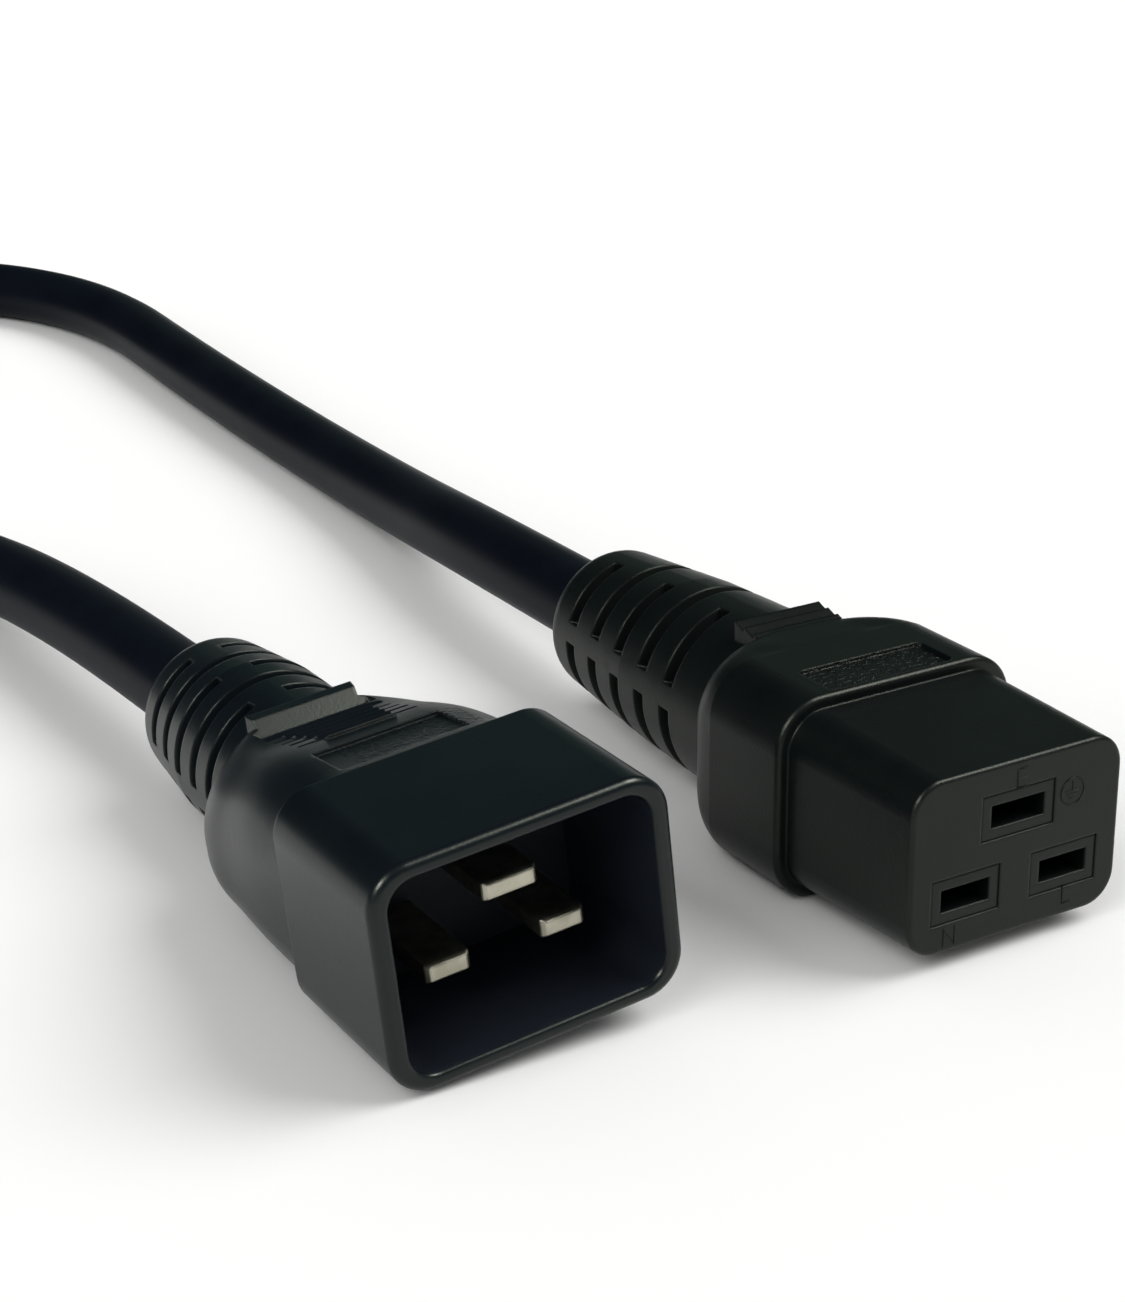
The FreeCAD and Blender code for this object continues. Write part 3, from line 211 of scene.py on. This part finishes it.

# Boxes in which a plastic differs, the cavity's by painted light: centre, half size and roll.
C19_PANEL = (MATING_FACE + Vector((0.0, 0.0244, 0.01168)), (0.0083, 0.0031, 0.0012), 0.0)
C20_PANEL = (PLUG_RIM + Vector((0.0012, 0.0263, 0.01117)), (0.0073, 0.0037, 0.0030), PLUG_ROLL)
# The plug's cavity, whose walls get the painted light.
C20_PAINTED_CAVITY_LIGHT_BOX = (PLUG_RIM + Vector((0.0, 0.0109, 0.0)), (0.0148, 0.0105, 0.0107), PLUG_ROLL)


def moulded_plastic(name, low, high, gloss, grain, edge, specular, panel=None, painted_cavity_light=None):
    """Soft black PVC: faint cloudy colour, uneven gloss and a fine leathery skin.

    panel is the place of a bare nameplate, whose floor is cast with a coarse texture.
    The last box, when given, is the place of a cavity whose walls are painted paler: painted light that
    lifts the shade inside it.
    """
    material, tree, shader = new_material(name)
    coords = object_coords(tree)
    cloud = noise(tree, coords, CLOUD_SCALE)
    color = ramp(tree, cloud, low, high)
    if painted_cavity_light:
        # Painted light: the cavity's walls take a paler colour that lifts their shade.
        color = mix_colors(tree, inside(tree, coords, *painted_cavity_light), color, PAINTED_CAVITY_LIGHT_COLOR)
    tree.links.new(color, shader.inputs["Base Color"])
    tree.links.new(remap(tree, cloud, *gloss), shader.inputs["Roughness"])
    shader.inputs["Specular IOR Level"].default_value = specular
    shader.inputs["Specular Tint"].default_value = SHEEN_TINT
    normal = soften(tree, edge)
    if panel:
        flecks = noise(tree, coords, FLECK_SCALE, detail=2.0)
        flecks = ramp(tree, flecks, (0, 0, 0), (1, 1, 1), *FLECK_RANGE)
        flecks = math_node(tree, "MULTIPLY", flecks, inside(tree, coords, *panel))
        normal = bump(tree, flecks, FLECK_DEPTH, normal)
    skin = noise(tree, coords, SKIN_SCALE, detail=3.0)
    tree.links.new(bump(tree, skin, grain, normal), shader.inputs["Normal"])
    return material


def plated_metal(name, low, high, gloss, grain, edge):
    """Plated brass strip with faint cloudy tarnish."""
    material, tree, shader = new_material(name)
    coords = object_coords(tree)
    shader.inputs["Metallic"].default_value = 1.0
    cloud = noise(tree, coords, TARNISH_SCALE)
    tree.links.new(ramp(tree, cloud, low, high), shader.inputs["Base Color"])
    tree.links.new(remap(tree, cloud, *gloss), shader.inputs["Roughness"])
    skin = noise(tree, coords, METAL_SKIN_SCALE)
    tree.links.new(bump(tree, skin, grain, soften(tree, edge)), shader.inputs["Normal"])
    return material


c19_look = moulded_plastic(
    "c19_pvc", low=(0.0017, 0.0032, 0.0036), high=(0.0027, 0.0048, 0.0052), gloss=(0.34, 0.42),
    grain=0.00002, edge=0.0004, specular=0.235, panel=C19_PANEL)
c20_look = moulded_plastic(
    "c20_pvc", low=(0.0026, 0.0048, 0.0074), high=(0.0038, 0.0064, 0.0092), gloss=(0.27, 0.34),
    grain=0.000012, edge=0.0004, specular=0.28, panel=C20_PANEL, painted_cavity_light=C20_PAINTED_CAVITY_LIGHT_BOX)
insert_look = moulded_plastic(
    "grey_insert", low=(0.009, 0.0115, 0.018), high=(0.012, 0.0155, 0.024), gloss=(0.45, 0.55),
    grain=0.00003, edge=0.0001, specular=0.2)
cord_look = moulded_plastic(
    "black_jacket", low=(0.0030, 0.0042, 0.0080), high=(0.0040, 0.0058, 0.0102), gloss=(0.34, 0.42),
    grain=0.00001, edge=0.0003, specular=0.05)
metal_look = plated_metal(
    "plated_metal", low=(0.34, 0.325, 0.255), high=(0.46, 0.44, 0.36), gloss=(0.28, 0.42),
    grain=0.00001, edge=0.0002)

# The look of each node, by the last word of its name.
METALS = ("contact", "conductor", "pin")
PLUG_LOOKS = {"overmould": c20_look, "mould": c20_look, "carrier": insert_look, "core": insert_look}


def look_of(name):
    kind = name.rsplit("_", 1)[-1]
    if kind in METALS:
        return metal_look
    if kind == "jacket":
        return cord_look
    return c19_look if name.startswith("c19_") else PLUG_LOOKS[kind]


def dress_nodes():
    for name, node in nodes.items():
        node.data.materials.clear()
        node.data.materials.append(look_of(name))


# ---------------------------------------------------------------- cord
CORD_RADIUS = 0.00525
CORD_STEPS = 24
CORD_ROUNDNESS = 12
# The control points of the cord's centre line, in metres, from inside the connector to inside the plug.
CORD_POINTS = [
    (0.0, 0.012, 0.01167),
    (0.0, 0.063, 0.01167),
    (0.008, 0.121, 0.00525),
    (0.0104, 0.187, 0.00525),
    (0.016, 0.262, 0.00525),
    (-0.018, 0.300, 0.00525),
    (-0.073, 0.295, 0.00525),
    (-0.112, 0.259, 0.00525),
    (-0.114, 0.200, 0.00525),
    (-0.086, 0.162, 0.00525),
    (-0.0585, 0.128, 0.0062),
    (-0.05381, 0.0684, 0.01035),
    (-0.05381, 0.0174, 0.01035),
]


def add_cord(material, blades):
    data = bpy.data.curves.new("cord", "CURVE")
    data.dimensions = "3D"
    data.resolution_u = CORD_STEPS
    data.bevel_depth = CORD_RADIUS
    data.bevel_resolution = CORD_ROUNDNESS
    data.use_fill_caps = True
    spline = data.splines.new("NURBS")
    spline.points.add(len(CORD_POINTS) - 1)
    for point, centre in zip(spline.points, CORD_POINTS):
        point.co = (*centre, 1.0)
    spline.order_u = 3
    spline.use_endpoint_u = True
    cord = bpy.data.objects.new("cord", data)
    bpy.context.scene.collection.objects.link(cord)
    data.materials.append(material)
    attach(cord, "root")
    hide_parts("cord_jacket")
    plug_pieces = [node for name, node in nodes.items() if name.startswith("c20_") and name not in blades]
    plug_pieces += blades.values()


# ---------------------------------------------------------------- blades
# The coined tip is as long as TIP_SIDE, and slopes in by it at each edge and by TIP_FLAT at each flat.
TIP_SIDE = 0.0005
TIP_FLAT = 0.0002
BLADE_EDGE = 0.00008
# The solid is measured this close to its tip, since its terminal inside the carrier is taller.
TIP_REACH = 0.002


def add_blade(node_name, material):
    """A straight blade in the place of its solid, with the coined tip of a stamped strip.

    It runs straight through the place of the solid's terminal, which the carrier hides.
    """
    lean = Matrix.Rotation(PLUG_ROLL, 4, "Y")
    local = [lean.inverted() @ (v.co - PLUG_RIM) for v in nodes[node_name].data.vertices]
    tip, root = min(point.y for point in local), max(point.y for point in local)
    front = [point for point in local if point.y < tip + TIP_REACH]
    low = [min(point[i] for point in front) for i in range(3)]
    high = [max(point[i] for point in front) for i in range(3)]
    rings = []
    for y, side, flat in ((tip, TIP_SIDE, TIP_FLAT), (tip + TIP_SIDE, 0.0, 0.0), (root, 0.0, 0.0)):
        left, right = low[0] + side, high[0] - side
        bottom, top = low[2] + flat, high[2] - flat
        rings.append([(left, y, bottom), (right, y, bottom), (right, y, top), (left, y, top)])
    mesh = bmesh.new()
    loops = [[mesh.verts.new(corner) for corner in ring] for ring in rings]
    mesh.faces.new(loops[0])
    mesh.faces.new(reversed(loops[-1]))
    for near, far in zip(loops, loops[1:]):
        for i in range(4):
            mesh.faces.new((near[i - 1], far[i - 1], far[i], near[i]))
    bmesh.ops.recalc_face_normals(mesh, faces=mesh.faces)
    bmesh.ops.bevel(mesh, geom=mesh.edges[:], offset=BLADE_EDGE, segments=2, affect="EDGES")
    data = bpy.data.meshes.new(node_name + "_blade")
    mesh.to_mesh(data)
    mesh.free()
    data.transform(Matrix.Translation(PLUG_RIM) @ lean)
    blade = bpy.data.objects.new(node_name + "_blade", data)
    bpy.context.scene.collection.objects.link(blade)
    data.materials.append(material)
    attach(blade, "root")
    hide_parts(node_name)
    return blade


# ---------------------------------------------------------------- marks
MARK_LINE = 0.00009
MARK_ROUNDNESS = 2
CIRCLE_SIDES = 32
CIRCLE_TURNS = [2 * math.pi * i / CIRCLE_SIDES for i in range(CIRCLE_SIDES + 1)]
CIRCLE = [(0.5 * math.cos(turn), 0.5 * math.sin(turn)) for turn in CIRCLE_TURNS]
# Each mark: its middle on the mating face, its height, and its strokes on a unit square.
MARKS = {
    "mark_e": ((0.0003, 0.0077), 0.0021, [
        [(0.35, 0.5), (-0.3, 0.5), (-0.3, -0.5), (0.35, -0.5)],
        [(-0.3, 0.0), (0.25, 0.0)],
    ]),
    "mark_n": ((-0.0085, -0.0081), 0.0021, [
        [(-0.35, -0.5), (-0.35, 0.5), (0.35, -0.5), (0.35, 0.5)],
    ]),
    "mark_l": ((0.0073, -0.0074), 0.0021, [
        [(-0.3, 0.5), (-0.3, -0.5), (0.35, -0.5)],
    ]),
    "mark_earth": ((0.0072, 0.0045), 0.0031, [
        [(0.0, 0.36), (0.0, 0.02)],
        [(-0.3, 0.02), (0.3, 0.02)],
        [(-0.2, -0.12), (0.2, -0.12)],
        [(-0.1, -0.26), (0.1, -0.26)],
        CIRCLE,
    ]),
}


def add_mark(name, middle, height, strokes, material):
    """Thin raised lines on the mating face: the usual letter of a contact, or the earth sign."""
    data = bpy.data.curves.new(name, "CURVE")
    data.dimensions = "3D"
    data.bevel_depth = MARK_LINE
    data.bevel_resolution = MARK_ROUNDNESS
    for stroke in strokes:
        spline = data.splines.new("POLY")
        spline.points.add(len(stroke) - 1)
        for point, (across, up) in zip(spline.points, stroke):
            corner = MATING_FACE + Vector((middle[0] + across * height, 0.0, middle[1] + up * height))
            point.co = (*corner, 1.0)
    mark = bpy.data.objects.new(name, data)
    bpy.context.scene.collection.objects.link(mark)
    data.materials.append(material)
    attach(mark, "root")


# ---------------------------------------------------------------- stage
FLOOR_SIZE = 8.0
FLOOR_COLOR = (0.92, 0.92, 0.91, 1.0)
WHITE = (1.0, 1.0, 1.0, 1.0)
AMBIENT = (0.38, 0.38, 0.38, 1.0)
# What the surfaces mirror, by the height of its direction from the horizon (0) to straight up (1).
STUDIO = (
    (0.0, (0.6, 0.6, 0.6)),
    (0.05, (0.14, 0.17, 0.15)),
    (0.36, (0.058, 0.09, 0.073)),
    (0.44, (0.15, 0.235, 0.18)),
    (0.50, (0.012, 0.015, 0.022)),
)
# A factor on it, from straight ahead and all that is left of it (0) to the far right (1).
STUDIO_SWEEP = (
    (0.05, (0.20, 0.25, 0.30)),
    (0.30, (1.0, 1.0, 1.0)),
)
# Each sun: the direction that it shines from, its spread in degrees and its strength.
SUNS = {
    "key": ((0.62, -0.22, 0.76), 44.0, 2.00),
    "fill": ((-0.72, -0.24, 0.65), 44.0, 1.22),
}
# Each strip: its place, its size and its power in watts.
STRIPS = {
    "overhead_strip": ((0.50, -0.30, 0.86), (0.42, 0.32), 12.0),
    "corner_strip": ((-0.80, -0.30, 0.66), (0.26, 0.26), 12.0),
}


def add_floor():
    bpy.ops.mesh.primitive_plane_add(size=FLOOR_SIZE)
    floor = bpy.context.object
    floor.name = "floor"
    material = bpy.data.materials.new("floor")
    tree, output = new_tree(material, "ShaderNodeOutputMaterial")
    matte = tree.nodes.new("ShaderNodeBsdfDiffuse")
    matte.inputs["Color"].default_value = FLOOR_COLOR
    tree.links.new(matte.outputs[0], output.inputs["Surface"])
    floor.data.materials.append(material)


def background(tree, color=None):
    """A background shader. Without a colour, its socket is left for a link."""
    node = tree.nodes.new("ShaderNodeBackground")
    if color:
        node.inputs["Color"].default_value = color
    return node


def mix_shaders(tree, factor, first, second):
    node = tree.nodes.new("ShaderNodeMixShader")
    tree.links.new(factor, node.inputs["Fac"])
    tree.links.new(first.outputs[0], node.inputs[1])
    tree.links.new(second.outputs[0], node.inputs[2])
    return node


def add_world():
    """White where the camera sees it. Mirrored rays see a dim studio: pale at the horizon, dark overhead."""
    world = bpy.data.worlds.new("world")
    bpy.context.scene.world = world
    tree, output = new_tree(world, "ShaderNodeOutputWorld")
    coords = tree.nodes.new("ShaderNodeTexCoord").outputs["Generated"]
    split = tree.nodes.new("ShaderNodeSeparateXYZ")
    tree.links.new(coords, split.inputs[0])
    walls = tree.nodes.new("ShaderNodeVectorMath")
    walls.operation = "MULTIPLY"
    tree.links.new(gradient(tree, split.outputs["Z"], STUDIO), walls.inputs[0])
    tree.links.new(gradient(tree, split.outputs["X"], STUDIO_SWEEP), walls.inputs[1])
    studio = background(tree)
    tree.links.new(walls.outputs[0], studio.inputs["Color"])
    path = tree.nodes.new("ShaderNodeLightPath").outputs
    mirrored = math_node(tree, "MAXIMUM", path["Is Glossy Ray"], path["Is Transmission Ray"])
    shader = mix_shaders(tree, mirrored, background(tree, AMBIENT), studio)
    shader = mix_shaders(tree, path["Is Camera Ray"], shader, background(tree, WHITE))
    tree.links.new(shader.outputs[0], output.inputs["Surface"])


def shine_from(lamp, direction):
    """Turn a lamp so that its light comes from a direction, and put it in the scene."""
    lamp.rotation_euler = Vector(direction).to_track_quat("Z", "Y").to_euler()
    bpy.context.scene.collection.objects.link(lamp)


def add_sun(name, direction, spread, strength):
    """A far and wide soft light, which lights the whole floor alike and isn't mirrored."""
    data = bpy.data.lights.new(name, "SUN")
    data.angle = math.radians(spread)
    data.energy = strength
    lamp = bpy.data.objects.new(name, data)
    lamp.visible_glossy = False
    shine_from(lamp, direction)


def add_strip(name, centre, size, power):
    """A bright panel that glossy surfaces mirror, and that adds no soft light."""
    data = bpy.data.lights.new(name, "AREA")
    data.shape = "RECTANGLE"
    data.size, data.size_y = size
    data.energy = power
    lamp = bpy.data.objects.new(name, data)
    lamp.location = centre
    lamp.visible_diffuse = False
    shine_from(lamp, centre)


bpy.context.scene.view_settings.view_transform = "Standard"
add_camera()
add_world()
add_floor()
for name, settings in SUNS.items():
    add_sun(name, *settings)
for name, settings in STRIPS.items():
    add_strip(name, *settings)

dress_nodes()
blades = {name: add_blade(name, metal_look) for name in nodes if name.endswith("_pin")}
add_cord(cord_look, blades)
for name, (middle, height, strokes) in MARKS.items():
    add_mark(name, middle, height, strokes, c19_look)
